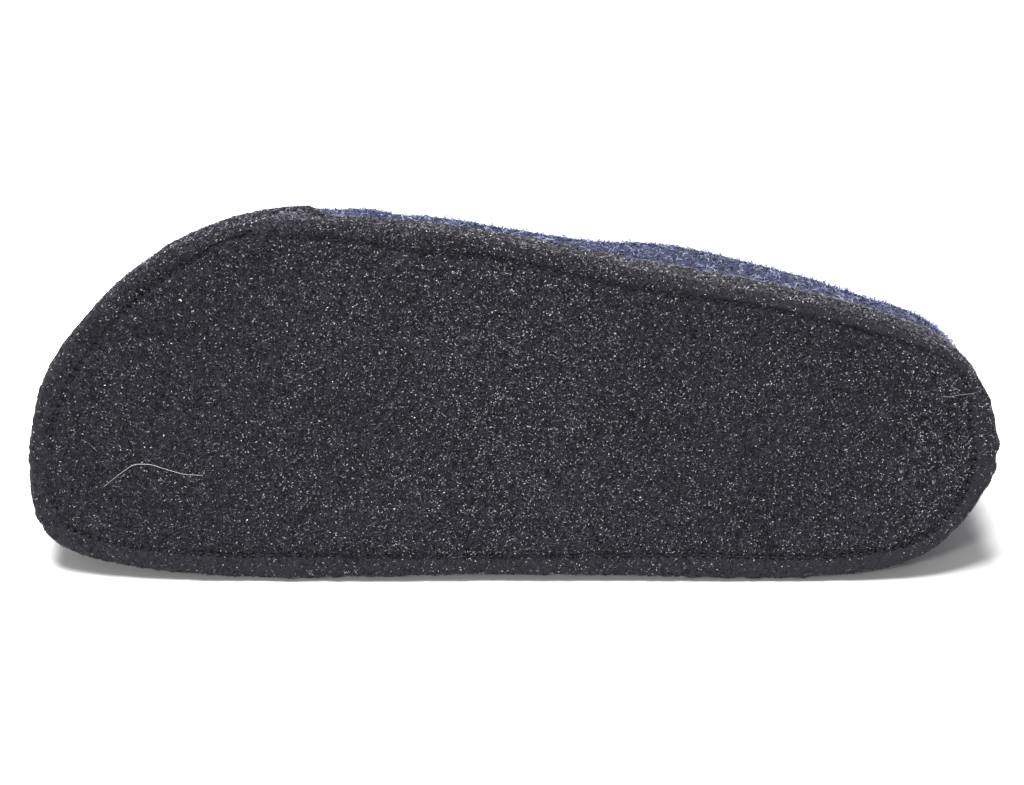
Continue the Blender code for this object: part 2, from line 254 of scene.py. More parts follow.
# Uneven felt: layers of smooth noise, each with its lumps' size in millimetres, seed and weight
UNEVEN = {
    "seam": ((14.0, 11, 0.35), (4.0, 12, 0.15)),
    "trough": ((8.0, 13, 0.35),),
    "holes": ((5.0, 14, 0.40),),
    "ragged": ((3.4, 15, 0.24), (1.7, 16, 0.16)),
    "rim": ((1.6, 21, 0.11), (0.9, 22, 0.09)),
    "face": ((1.6, 21, 0.13), (0.9, 22, 0.12)),
    "lumps": ((30.0, 23, 0.28), (8.0, 24, 0.18)),
    "wool_soft": ((24.0, 31, 0.55), (9.0, 32, 0.28)),
    "wool_fine": ((2.6, 33, 0.14), (1.3, 34, 0.07)),
    "bed_broad": ((11.0, 41, 0.30),),
    "bed_fine": ((2.5, 42, 0.10),),
    "rand": ((1.4, 61, 0.20), (0.8, 62, 0.12), (8.0, 63, 0.25)),
    "guard": ((1.4, 71, 0.20), (0.8, 72, 0.12), (8.0, 73, 0.25)),
}
UP = np.array([0, 0, 1])

# The footbed's dish: how far in from its side in millimetres, and the share of its depth there
DISH = ((4, 0.15), (7, 0.60), (10, 0.88), (14, 1.00))

POINTS = {"sole": 400, "upper": 230, "band": 300, "bed": 120}
ROWS = {"sole": 98, "bed": 30}
RIM_LOOPS = (13, 12, 6)
UPPER_LOOPS = 50
FINE = 1.0


def closed_spline(angles, values, wanted):
    """Smooth closed curve through the values, from its second derivative at each angle."""
    count = len(angles)
    step = np.diff(np.append(angles, angles[0] + 2 * math.pi))
    slope = np.diff(np.append(values, values[0])) / step
    system = np.zeros((count, count))
    for k in range(count):
        system[k, k - 1] += step[k - 1]
        system[k, k] += 2 * (step[k - 1] + step[k])
        system[k, (k + 1) % count] += step[k]
    bend = np.linalg.solve(system, 6 * (slope - np.roll(slope, 1)))
    k = np.searchsorted(angles, wanted, side="right") - 1
    after = (k + 1) % count
    past = wanted - angles[k]
    left = step[k] - past
    curved = (bend[k] * left**3 + bend[after] * past**3) / (6 * step[k])
    straight = (values[k] / step[k] - bend[k] * step[k] / 6) * left
    return curved + straight + (values[after] / step[k] - bend[after] * step[k] / 6) * past


def smooth_step(low, high, values):
    part = np.clip((values - low) / (high - low), 0, 1)
    return part * part * (3 - 2 * part)


class Last:
    """The shoe's surfaces on loops of a chosen fineness."""

    def __init__(self, half):
        self.half = half
        self.count = 2 * half
        self.angles = np.arange(self.count) * math.pi / half
        self.share = (1 - np.cos(self.angles)) / 2
        across = self.around(OUTLINE, "lateral", "medial")
        self.edge = np.stack([self.share * LENGTH, across * BALL_WIDTH], axis=1)
        self.base = self.inset(SOLE_STEP + RAND_WALL + GAP, OUTSOLE_THICKNESS + GAP)
        rise = self.around(UPPER, "collar_rise")
        collar = (
            self.around(UPPER, "collar_along") * LENGTH,
            self.around(UPPER, "collar_lateral", "collar_medial") * BALL_WIDTH,
            HEEL_HEIGHT + rise * (INSTEP_HEIGHT - HEEL_HEIGHT),
        )
        self.collar = np.stack(collar, axis=1)
        self.knee = self.around(UPPER, "knee")
        self.turn_in = self.around(UPPER, "shoulder_in")
        self.turn_up = self.around(UPPER, "shoulder_up")
        self.bulge = self.around(BANDS, "bulge_lateral", "bulge_medial") * UPPER_BULGE
        self.out = outward(self.base[:, :2])
        foot = OUTSOLE_THICKNESS + GAP
        self.rand_top = foot + RAND_HEIGHT * self.around(BANDS, "rand")
        self.guard_top = foot + GUARD_HEIGHT * self.around(BANDS, "guard")
        self.lateral = np.arange(self.count) < half
        self.puff, dip, self.square, self.thin = (
            np.interp(self.share, SIDE["along"], SIDE[name])
            for name in ("puff", "dip", "square", "thin")
        )
        self.puff = self.puff * self.lateral * MM
        self.thin = 1 - self.thin * self.lateral
        guarded = smooth_step(GUARD_START, GUARD_FULL, self.share)
        self.square = np.where(self.lateral, self.square, guarded)
        self.rand_top = self.rand_top - dip * self.lateral * MM

    def around(self, table, lateral, medial=None):
        """A column of the table round the whole loop, or one for each side of the shoe."""
        angle = np.arccos(1 - 2 * table["along"])
        out = table[lateral]
        back = table[medial or lateral]
        angles = np.concatenate([angle, 2 * math.pi - angle[-2:0:-1]])
        values = np.concatenate([out, back[-2:0:-1]])
        return closed_spline(angles, values, self.angles)

    def inset(self, distance, height):
        """The sole's outline moved in by a distance, at a height."""
        moved = self.edge - outward(self.edge) * np.reshape(distance, (-1, 1))
        return np.column_stack([moved, np.broadcast_to(height, (self.count,))])

    def point(self, share):
        """The upper's outer face at a share of the way from sole to collar."""
        left = 1 - share
        first = 3 * left**2 * share
        second = 3 * left * share**2
        last = share**3
        way_in = second * self.turn_in + last
        way_up = first * self.knee + second * self.turn_up + last
        rise = way_up * (self.collar[:, 2] - self.base[:, 2])
        swell = self.bulge * rise / BULGE_HEIGHT * np.exp(1 - rise / BULGE_HEIGHT)
        plan = self.base[:, :2] + (self.collar[:, :2] - self.base[:, :2]) * way_in[:, None]
        plan = plan + self.out * swell[:, None]
        return np.column_stack([plan, self.base[:, 2] + rise])

    def normal(self, share):
        small = 1e-3
        below = self.point(np.clip(share - small, 0, 1))
        above = self.point(np.clip(share + small, 0, 1))
        here = self.point(share)
        ahead = np.roll(here, -1, axis=0) - np.roll(here, 1, axis=0)
        return unit(np.cross(above - below, ahead))

    def share_at(self, height):
        """The share at which the upper reaches a height, by halving."""
        low = np.zeros(self.count)
        high = np.ones(self.count)
        for _ in range(34):
            middle = (low + high) / 2
            under = self.point(middle)[:, 2] < height
            low = np.where(under, middle, low)
            high = np.where(under, high, middle)
        return (low + high) / 2

    def on_upper(self, height, distance):
        """Points at a height of the upper, moved out of its face by a distance."""
        share = self.share_at(height)
        return self.point(share) + self.normal(share) * np.reshape(distance, (-1, 1))


def unit(vectors):
    return vectors / np.maximum(np.linalg.norm(vectors, axis=-1, keepdims=True), 1e-12)


def outward(loop):
    """The way out of a flat loop at each of its points."""
    ahead = np.roll(loop, -1, axis=0) - np.roll(loop, 1, axis=0)
    return unit(np.stack([-ahead[:, 1], ahead[:, 0]], axis=1))


def sprung(points):
    """The points with the toe spring added."""
    ahead = np.clip((points[..., 0] / LENGTH - SPRING_START) / (1 - SPRING_START), 0, None)
    lifted = points.copy()
    lifted[..., 2] += TOE_SPRING * ahead**2
    return lifted


def laid(points):
    """From the shoe's own frame, toe to +X and up to +Z, to where it lies on its side."""
    onto_side = Matrix(((-1, 0, 0), (0, 0, 1), (0, 1, 0))).to_4x4()
    place = Matrix.Rotation(-LEAN, 4, "X") @ onto_side @ Matrix.Rotation(TURN, 4, "Z")
    return points @ np.array(place.to_3x3()).T + np.array(SHIFT)


def hashed(whole, seed):
    """A steady number from 0 to 1 for each whole-number place."""
    whole = whole.astype(np.int64)
    mixed = whole[..., 0] * 73856093 ^ whole[..., 1] * 19349663 ^ whole[..., 2] * 83492791
    mixed = (mixed + seed * 2654435761) & 0xFFFFFFFF
    mixed = (mixed ^ (mixed >> 15)) * 2246822519 & 0xFFFFFFFF
    mixed = (mixed ^ (mixed >> 13)) * 3266489917 & 0xFFFFFFFF
    return ((mixed ^ (mixed >> 16)) & 0xFFFFFF) / float(0xFFFFFF)


def noise(points, size, seed):
    """Smooth noise from -1 to 1 whose lumps are about size across."""
    scaled = points / size
    whole = np.floor(scaled)
    part = scaled - whole
    part = part * part * part * (part * (part * 6 - 15) + 10)
    total = np.zeros(len(points))
    for corner in np.ndindex(2, 2, 2):
        weight = np.prod(np.where(corner, part, 1 - part), axis=1)
        total += weight * hashed(whole + np.array(corner), seed)
    return total * 2 - 1


def uneven(points, name):
    """One unevenness of the felt: its layers of noise, added up."""
    return sum(weight * noise(points, size * MM, seed) for size, seed, weight in UNEVEN[name])


def mesh_piece(name, points, quads, triangles=()):
    """A mesh object from arrays of points, quads and triangles, with no point below the floor."""
    mesh = bpy.data.meshes.new(name)
    corners = np.concatenate([quads.ravel(), np.array(triangles, int).ravel()]).astype(np.int32)
    sizes = np.repeat([4, 3], [len(quads), len(triangles)])
    starts = (np.cumsum(sizes) - sizes).astype(np.int32)
    settled = np.array(points, np.float32)
    settled[:, 2] = np.maximum(settled[:, 2], 0)
    mesh.vertices.add(len(points))
    mesh.vertices.foreach_set("co", settled.ravel())
    mesh.loops.add(len(corners))
    mesh.loops.foreach_set("vertex_index", corners)
    mesh.polygons.add(len(starts))
    mesh.polygons.foreach_set("loop_start", starts)
    mesh.update(calc_edges=True)
    mesh.validate()
    mesh.polygons.foreach_set("use_smooth", np.ones(len(mesh.polygons), bool))
    piece = bpy.data.objects.new(name, mesh)
    bpy.context.scene.collection.objects.link(piece)
    return piece


def ring_quads(first, second, count, closed=True):
    """Quads between two loops of count points that begin at these indices, once all round if closed."""
    k = np.arange(count if closed else count - 1)
    after = (k + 1) % count
    return np.stack([first + k, second + k, second + after, first + after], axis=1)


def stacked(loops, wrap, closed=True):
    """Points and quads of loops that join one to the next, and the last to the first if wrap is set."""
    count = len(loops[0])
    quads = [ring_quads(k * count, (k + 1) * count, count, closed) for k in range(len(loops) - 1)]
    if wrap:
        quads.append(ring_quads((len(loops) - 1) * count, 0, count, closed))
    return np.concatenate(loops), np.concatenate(quads)


def flipped(faces):
    """The same faces seen from the other side, from the same first corner."""
    return np.roll(faces[:, ::-1], 1, axis=1)


def joined(meshes):
    """Points and quads of several meshes as one."""
    points = []
    quads = []
    start = 0
    for more, faces in meshes:
        points.append(more)
        quads.append(faces + start)
        start += len(more)
    return np.concatenate(points), np.concatenate(quads)


def filled(loop, base, offset, across):
    """Points, quads and end fans that fill a loop by rows from side to side.

    base is the index of the loop's first point and offset that of the first new one. The rows
    share the loop's own points at both their ends."""
    count = len(loop)
    half = count // 2
    steps = np.linspace(0, 1, across + 1)[:, None]
    rows = [loop[k] * (1 - steps) + loop[count - k] * steps for k in range(1, half)]
    index = np.arange((half - 1) * (across + 1)).reshape(half - 1, across + 1) + offset
    index[:, 0] = base + np.arange(1, half)
    index[:, -1] = base + count - np.arange(1, half)
    corners = [index[:-1, :-1], index[1:, :-1], index[1:, 1:], index[:-1, 1:]]
    fans = []
    for j in range(across):
        fans.append((base, index[0, j], index[0, j + 1]))
        fans.append((base + half, index[-1, j + 1], index[-1, j]))
    return np.concatenate(rows), np.stack(corners, axis=-1).reshape(-1, 4), np.array(fans)


def tube(centres, radii, across, up, sides):
    """Points and quads of an open tube, a ring round each centre in the plane of across and up."""
    angles = 2 * math.pi * np.arange(sides) / sides
    across, up = (np.broadcast_to(way, centres.shape)[:, None] for way in (across, up))
    spokes = np.cos(angles)[:, None] * across + np.sin(angles)[:, None] * up
    points, quads = stacked(centres[:, None] + np.reshape(radii, (-1, 1, 1)) * spokes, False)
    return points, flipped(quads)


def path_lengths(path):
    """How far along the path each of its points lies."""
    return np.concatenate([[0], np.cumsum(np.linalg.norm(np.diff(path, axis=0), axis=1))])


def on_path(path, lengths, spots):
    """Points of the path at these distances along it."""
    return np.stack([np.interp(spots, lengths, path[:, axis]) for axis in range(path.shape[1])], axis=1)


def arc_length(loop):
    """How far along the closed loop each of its points lies, and its whole length."""
    step = np.linalg.norm(np.roll(loop, -1, axis=0) - loop, axis=1)
    return np.concatenate([[0], np.cumsum(step)[:-1]]), step.sum()


def stitch_wave(loop, pitch):
    """Rises to 1 at each stitch hole along the loop, with a whole number of stitches."""
    along, whole = arc_length(loop)
    number = max(1, round(whole / pitch))
    return (0.5 + 0.5 * np.cos(2 * math.pi * number * along / whole)) ** 3


# Materials


def fill_in(node, values):
    """Sets a node's inputs by their names."""
    for name, value in values.items():
        node.inputs[name].default_value = value


def shader_of(name):
    material = bpy.data.materials.new(name)
    material.use_nodes = True
    tree = material.node_tree
    return material, tree, tree.nodes["Principled BSDF"]


def noise_node(tree, source, scale, detail, distortion=0.0, rough=0.55):
    node = tree.nodes.new("ShaderNodeTexNoise")
    fill_in(node, {"Scale": scale, "Detail": detail, "Roughness": rough, "Distortion": distortion})
    tree.links.new(source, node.inputs["Vector"])
    return node.outputs["Fac"]


def ramp_node(tree, source, stops):
    node = tree.nodes.new("ShaderNodeValToRGB")
    ramp = node.color_ramp
    while len(ramp.elements) < len(stops):
        ramp.elements.new(0.5)
    for element, (place, colour) in zip(ramp.elements, stops):
        element.position = place
        element.color = (*colour, 1)
    tree.links.new(source, node.inputs["Fac"])
    return node.outputs["Color"]


def mix_node(tree, factor, first, second, blend="MIX"):
    node = tree.nodes.new("ShaderNodeMix")
    node.data_type = "RGBA"
    node.blend_type = blend
    if isinstance(factor, float):
        node.inputs[0].default_value = factor
    else:
        tree.links.new(factor, node.inputs[0])
    for socket, value in zip(node.inputs[6:8], (first, second)):
        if isinstance(value, tuple):
            socket.default_value = (*value, 1)
        else:
            tree.links.new(value, socket)
    return node.outputs[2]


def bump_node(tree, height, strength, distance, before=None):
    node = tree.nodes.new("ShaderNodeBump")
    fill_in(node, {"Strength": strength, "Distance": distance})
    tree.links.new(height, node.inputs["Height"])
    if before is not None:
        tree.links.new(before, node.inputs["Normal"])
    return node.outputs["Normal"]


def felt_material(name, dark, middle, light, grain, gloss, sheen=0.0, depth=1.0, calm=None):
    """Felt: curled fibres of three shades, with relief at three scales. The shades are the felt's own
    mixed fibres, but the same noises lay out the relief, so the darkest shade also paints shade in the
    pits and the lightest paints glints on the tops.

    grain is a fibre's width, gloss the roughness of the lightest fibres and depth that of the
    relief. calm is the shade of the felt where its mesh is marked as pressed smooth."""
    material, tree, shader = shader_of(name)
    place = tree.nodes.new("ShaderNodeTexCoord").outputs["Object"]
    fine = noise_node(tree, place, 1 / grain, 3, 2.2, 0.6)
    curls = noise_node(tree, place, 1 / (grain * 1.9), 4, 3.0, 0.65)
    coarse = noise_node(tree, place, 1 / (grain * 7), 3, 0.6)
    broad = noise_node(tree, place, 1 / 0.035, 3)
    strokes = ((0.36, (0.30, 0.30, 0.31)), (0.50, (1.0, 1.0, 1.0)), (0.66, (1.7, 1.7, 1.72)))
    patches = ((0.34, (0.72, 0.72, 0.73)), (0.62, (1.0, 1.0, 1.0)))
    wear = ((0.35, (0.84, 0.84, 0.86)), (0.65, (1.06, 1.06, 1.06)))
    # each noise darkens the colour where it sinks the relief and lightens it where it raises it:
    # painted shade in the pits and painted glints on the tops
    colour = ramp_node(tree, fine, ((0.36, dark), (0.50, middle), (0.64, light)))
    for source, stops in ((curls, strokes), (coarse, patches), (broad, wear)):
        colour = mix_node(tree, 1.0, colour, ramp_node(tree, source, stops), "MULTIPLY")
    if calm is not None:
        pressed = tree.nodes.new("ShaderNodeAttribute")
        pressed.attribute_name = "pressed"
        colour = mix_node(tree, pressed.outputs["Fac"], colour, calm)
    tree.links.new(colour, shader.inputs["Base Color"])
    relief = None
    for height, strength, grains in ((fine, 0.9, 0.9), (curls, 0.8, 1.5), (coarse, 0.4, 2.5)):
        relief = bump_node(tree, height, strength * depth, grain * grains, relief)
    tree.links.new(relief, shader.inputs["Normal"])
    rough = tree.nodes.new("ShaderNodeMapRange")
    fill_in(rough, {"From Min": 0.42, "From Max": 0.66, "To Min": 0.90, "To Max": gloss})
    tree.links.new(fine, rough.inputs["Value"])
    tree.links.new(rough.outputs["Result"], shader.inputs["Roughness"])
    fill_in(shader, {"Specular IOR Level": 0.16, "Sheen Weight": sheen, "Sheen Roughness": 0.6})
    return material


def plain_material(name, colour, roughness, specular=0.3):
    """A single colour, for thin fibres and threads and for the floor."""
    material, _, shader = shader_of(name)
    looks = {"Base Color": (*colour, 1), "Roughness": roughness, "Specular IOR Level": specular}
    fill_in(shader, looks)
    return material


def scatter(points, quads, count, rng, weight):
    """Random places on quads, spread by area and weight, with the normals there."""
    a, b, c, d = (points[quads[:, k]] for k in range(4))
    cross = np.cross(c - a, d - b)
    area = np.linalg.norm(cross, axis=1) / 2 * weight
    chosen = rng.choice(len(quads), count, p=area / area.sum())
    u = rng.random((count, 1))
    v = rng.random((count, 1))
    top = a[chosen] * (1 - u) + b[chosen] * u
    bottom = d[chosen] * (1 - u) + c[chosen] * u
    return top * (1 - v) + bottom * v, unit(cross[chosen])


def strands(name, roots, normals, rng, length, width, curl, lift, rise):
    """Short curved fibres as flat ribbons. lift raises the middle and rise lifts the free end."""
    count = len(roots)
    segments = 2
    spin = rng.normal(size=(count, 3))
    tangent = unit(spin - normals * np.sum(spin * normals, axis=1, keepdims=True))
    side = np.cross(normals, tangent)
    reach = length * rng.uniform(0.55, 1.35, (count, 1))
    bend = rng.normal(0, curl, (count, 1))
    bend = np.where(np.abs(bend) < 1e-3, 1e-3, bend)
    up = lift * rng.uniform(0.3, 1.3, (count, 1))
    end = rise * rng.uniform(0.0, 1.3, (count, 1))
    tilt = rng.uniform(-1.2, 1.2, (count, 1))
    broad = width * rng.uniform(0.7, 1.3, (count, 1))
    rows = []
    for k in range(segments + 1):
        t = k / segments
        turn = bend * t
        ahead = np.sin(turn) / bend
        aside = (1 - np.cos(turn)) / bend
        height = up * 4 * t * (1 - t) + end * t * t
        spine = roots + reach * (tangent * ahead + side * aside) + normals * height
        heading = tangent * np.cos(turn) + side * np.sin(turn)
        flat = np.cross(normals, heading)
        flat = flat * np.cos(tilt) + normals * np.sin(tilt)
        half = broad / 2 * (1.0 if k < segments else 0.45)
        rows.append(spine - flat * half)
        rows.append(spine + flat * half)
    points = np.stack(rows, axis=1).reshape(-1, 3)
    start = np.arange(count)[:, None] * 2 * (segments + 1)
    quads = []
    for k in range(segments):
        corner = start + 2 * k
        quads.append(np.concatenate([corner, corner + 1, corner + 3, corner + 2], axis=1))
    return mesh_piece(name, points, np.stack(quads, axis=1).reshape(-1, 4))


def dress(piece, material, slot_name, *nodes):
    """Gives a piece its material and body, and hides the solids that it stands for. slot_name is not
    used.
    """
    piece.data.materials.clear()
    piece.data.materials.append(material)
    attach(piece, "root")
    if nodes:
        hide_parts(*nodes)


def climb_line(last):
    """Height in millimetres of the toe cap's seam at each point of a loop."""
    return np.interp(last.share, CLIMB["along"], CLIMB["height"])


def climb_depth(last, height):
    """How deep the toe cap's seam draws in the lateral side at this height in metres."""
    away = (height / MM - climb_line(last)) / CLIMB_WIDTH
    inside = (last.share > CLIMB_ENDS[0]) & (last.share < CLIMB_ENDS[1]) & last.lateral
    hole = stitch_wave(last.edge, STITCH)
    return np.exp(-(away**2)) * inside * (CLIMB_TROUGH + CLIMB_HOLES * hole) * MM


def build_outsole():
    """The outsole: a lumpy felt face, a sewn groove, a rolled rim and the cut edge."""
    last = Last(int(POINTS["sole"] * FINE))
    count = last.count
    half = last.half
    flat = last.inset(0, 0)
    seam = last.around(SEAM, "inset_lateral", "inset_medial") * MM
    seam = seam + uneven(flat, "seam") * MM
    trough = last.around(SEAM, "trough_lateral", "trough_medial") * MM
    trough = trough * (1 + uneven(flat, "trough"))
    holes = last.around(SEAM, "holes_lateral", "holes_medial") * MM
    holes = holes * stitch_wave(last.inset(SEAM_GUIDE, 0), STITCH) * (1 + uneven(flat, "holes"))
    row = smooth_step(SECOND_ROW["begins"], SECOND_ROW["full"], last.share)
    row = row * (1 - smooth_step(SECOND_ROW["wanes"], SECOND_ROW["ends"], last.share))
    row = row * last.lateral * stitch_wave(last.inset(SECOND_GUIDE, 0), STITCH * SECOND_ROW["pitch"])
    row = row * SECOND_ROW_HOLES["depth"] * MM
    burrs = np.zeros(count)
    for centre, width, tall in BURRS:
        away = np.angle(np.exp(1j * (last.angles - centre * math.pi)))
        burrs += tall * MM * np.exp(-((away / (width * math.pi)) ** 2))
    ragged = (uneven(flat, "ragged") - RAGGED_TRIM) * MM + burrs

    wall = OUTSOLE_THICKNESS - EDGE_ROUNDING
    bend = EDGE_ROUNDING * math.pi / 2
    turn = np.clip(1 - seam / EDGE_ROUNDING, 0, 1)
    seam_run = wall + bend + np.where(
        seam > EDGE_ROUNDING, seam - EDGE_ROUNDING, -EDGE_ROUNDING * np.arcsin(turn)
    )

    def section(run):
        """Place on the edge's section after a run from its upper corner, and the way out of it."""
        angle = np.clip((run - wall) / EDGE_ROUNDING, 0, math.pi / 2)
        past = np.clip(run - wall - bend, 0, None)
        inset = EDGE_ROUNDING * (1 - np.cos(angle)) + past
        height = np.where(run < wall, OUTSOLE_THICKNESS - run, EDGE_ROUNDING * (1 - np.sin(angle)))
        return inset, height, np.cos(angle), np.sin(angle)

    outer = outward(last.edge)
    runs = []
    above, beside, beyond = (int(number * FINE) + 1 for number in RIM_LOOPS)
    for part in np.linspace(0, 1, above)[:-1]:
        runs.append(part * (seam_run - FINE_ZONE * MM))
    for offset in np.linspace(-FINE_ZONE, FINE_ZONE, beside):
        runs.append(seam_run + offset * MM)
    for offset in np.linspace(FINE_ZONE, LOOP_ZONE, beyond)[1:]:
        runs.append(seam_run + offset * MM)
    rim = []
    for place, run in enumerate(runs):
        inset, height, out, down = section(run)
        away = (run - seam_run) / MM
        sunk = trough * sum(part * np.exp(-((away / width) ** 2)) for part, width in GROOVE)
        sunk = sunk + holes * np.exp(-((away / HOLE_WIDTH) ** 2))
        from_row = (inset / MM - SECOND_ROW_HOLES["inset"]) / SECOND_ROW_HOLES["width"]
        sunk = sunk + row * np.exp(-(from_row**2))
        sunk = sunk + climb_depth(last, height) * (inset < EDGE_ROUNDING)
        flesh = last.inset(inset, height)
        sunk = sunk - ragged * out * (1 if place else 0.3)
        sunk = sunk - uneven(flesh, "rim") * MM * (1 if place else 0.2)
        flesh[:, :2] -= outer * (sunk * out)[:, None]
        flesh[:, 2] += sunk * down
        rim.append(flesh)
    rim = rim[::-1]
    rim.append(last.inset(LIP, OUTSOLE_THICKNESS))
    points, quads = stacked(rim, False)

    face, face_quads, fans = filled(rim[0], 0, len(points), int(ROWS["sole"] * FINE))
    top = (len(rim) - 1) * count
    caps = [(top, top + count - 1, top + 1), (top + half - 1, top + half + 1, top + half)]
    ks = np.arange(1, half - 1)
    top_quads = np.stack([top + ks, top + count - ks, top + count - ks - 1, top + ks + 1], axis=1)
    face[:, 2] -= uneven(face, "face") * MM
    points = np.concatenate([points, face])
    low = np.clip(1 - points[:, 2] / EDGE_ROUNDING, 0, 1)
    points[:, 2] -= np.clip(uneven(points, "lumps"), -0.4, 0.3) * MM * low
    points = laid(sprung(points))
    used = np.concatenate([quads, face_quads, top_quads])
    piece = mesh_piece("outsole_felt", points, used, np.concatenate([fans, caps]))
    # the strip between groove and edge is pressed smooth all along the medial side, most at the
    # heel, and on the lateral side at heel and toe
    pressed = np.zeros(len(points))
    runs = np.stack(runs[::-1])
    strip = smooth_step(0.2, 1.2, (seam_run - runs) / MM)
    edge = smooth_step(0.0, 1.0, runs / (wall + bend * 0.4))
    side = np.where(last.lateral, 0.50 - 0.50 * smooth_step(0.22, 0.45, last.share), 0.52)
    side = side + 0.40 * smooth_step(0.90, 0.97, last.share) * last.lateral
    side = side + 0.25 * (1 - smooth_step(0.10, 0.32, last.share)) * ~last.lateral
    pressed[: runs.size] = (strip * np.where(last.lateral, edge, 1) * side).ravel()
    mark = piece.data.attributes.new("pressed", "FLOAT", "POINT")
    mark.data.foreach_set("value", pressed.astype(np.float32))
    groove = np.zeros(len(points))
    groove[: runs.size] = np.exp(-(((runs - seam_run) / (0.8 * MM)) ** 2)).ravel()
    # fewer loose fibres stand on the strip that is pressed smooth, and in the groove
    hairy = np.concatenate([face_quads, quads[: count * (len(rim) - 2)]])
    thin = (1 - pressed[hairy].mean(axis=1)) * (1 - 0.75 * groove[hairy].mean(axis=1))
    return piece, last, seam, trough, points, hairy, np.clip(thin, 0.1, 1)


def build_band(name, last, low, high, wall, felt, square, kept):
    """A felt band on the upper, with a rough outer face. square is 1 where its top edge isn't rounded.

    felt names its unevenness, and kept is the part of the loop that it covers."""
    count = len(kept)
    whole = count == last.count
    outer = []
    inner = []
    steps = 18 if whole else 26
    for k in range(steps):
        height = math.sin(math.pi / 2 * k / (steps - 1))
        level = low + (high - low) * height
        thickness = np.interp(height, BAND_EDGE["height"], BAND_EDGE["thickness"])
        thickness = (thickness + (1 - thickness) * square) * last.thin
        surface = last.on_upper(level, GAP + wall * thickness)
        normal = last.normal(last.share_at(level))
        # the relief fades towards the top edge
        grain = uneven(surface, felt) * MM * min(1, 6 * (1 - height) + 0.3)
        grain = grain - climb_depth(last, level) * 1.2
        outer.append((surface + normal * grain[:, None])[kept])
        if k % 4 == 0 or k == steps - 1:
            inner.append(last.on_upper(level, GAP)[kept])
    loops = outer + inner[::-1]
    points, quads = stacked(loops, True, whole)
    shown = quads[: (len(outer) - 1) * (count if whole else count - 1)]
    ends = np.zeros((0, 3), int)
    for edge in () if whole else (0, count - 1):
        ring = np.arange(len(loops)) * count + edge
        middle = np.full(len(ring), len(points))
        points = np.vstack([points, points[ring].mean(axis=0)])
        after = np.roll(ring, -1)
        fan = (ring, after, middle) if edge else (after, ring, middle)
        ends = np.concatenate([ends, np.stack(fan, axis=1)])
    points = laid(sprung(points))
    return mesh_piece(name, points, quads, ends), points, shown


def crease_depth(last, share, points):
    """How deep each point of the upper sinks into the listed creases."""
    depth = np.zeros(last.count)
    side = np.where(last.lateral, 1, -1)
    for row in CREASES:
        crease = dict(zip(CREASE_COLUMNS, row))
        above = share - crease["up"]
        ahead = points[:, 0] - (crease["along"] + crease["slant"] * above) * LENGTH
        widths = ahead / (crease["width"] * MM)
        fade = np.exp(-((above * WALL_RUN / (crease["reach"] * MM)) ** 2) * CREASE_FADE)
        trough = np.exp(-(widths**2))
        ridge = np.exp(-((widths - RIDGE_AWAY) ** 2))
        form = (trough - RIDGE_HEIGHT * ridge) * (side == crease["side"])
        depth += crease["depth"] * MM * fade * form
    return depth


def build_upper():
    """The wool upper: a thick felt shell with soft creases and a rounded collar edge."""
    last = Last(int(POINTS["upper"] * FINE))
    outer = []
    inner = []
    steps = int(UPPER_LOOPS * FINE) + 1
    for k in range(steps):
        share = k / (steps - 1)
        ring = np.full(last.count, share)
        face = last.point(ring)
        normal = last.normal(ring)
        soft = uneven(face, "wool_soft")
        fine = uneven(face, "wool_fine")
        fade = min(1.0, 5 * share)
        window = np.exp(-(((face[:, 2] - PUFF_HEIGHT) / PUFF_REACH) ** 2))
        sunk = crease_depth(last, share, face) * fade - last.puff * window
        outer.append(face + normal * ((soft * fade + fine) * MM - sunk)[:, None])
        if k % 3 == 0 or k == steps - 1:
            depth = UPPER_WALL + soft * 0.3 * MM * fade + np.clip(sunk, 0, 1) * 0.5
            inside = face - normal * depth[:, None]
            if k == 0:
                inside[:, 2] = face[:, 2]
            inner.append(inside)
    rim_out = outer[-1]
    rim_in = inner[-1]
    lift = unit(outer[-1] - outer[-2])
    crown = []
    for turn in np.linspace(0, math.pi, 7)[1:-1]:
        middle = (rim_out + rim_in) / 2 + (rim_out - rim_in) / 2 * math.cos(turn)
        crown.append(middle + lift * math.sin(turn) * 1.1 * MM)
    loops = outer + crown + inner[::-1]
    points, quads = stacked(loops, True)
    points = laid(sprung(points))
    shown = last.count * (len(outer) + len(crown))
    return mesh_piece("upper_wool", points, quads), points, quads[:shown], quads[shown : -last.count]


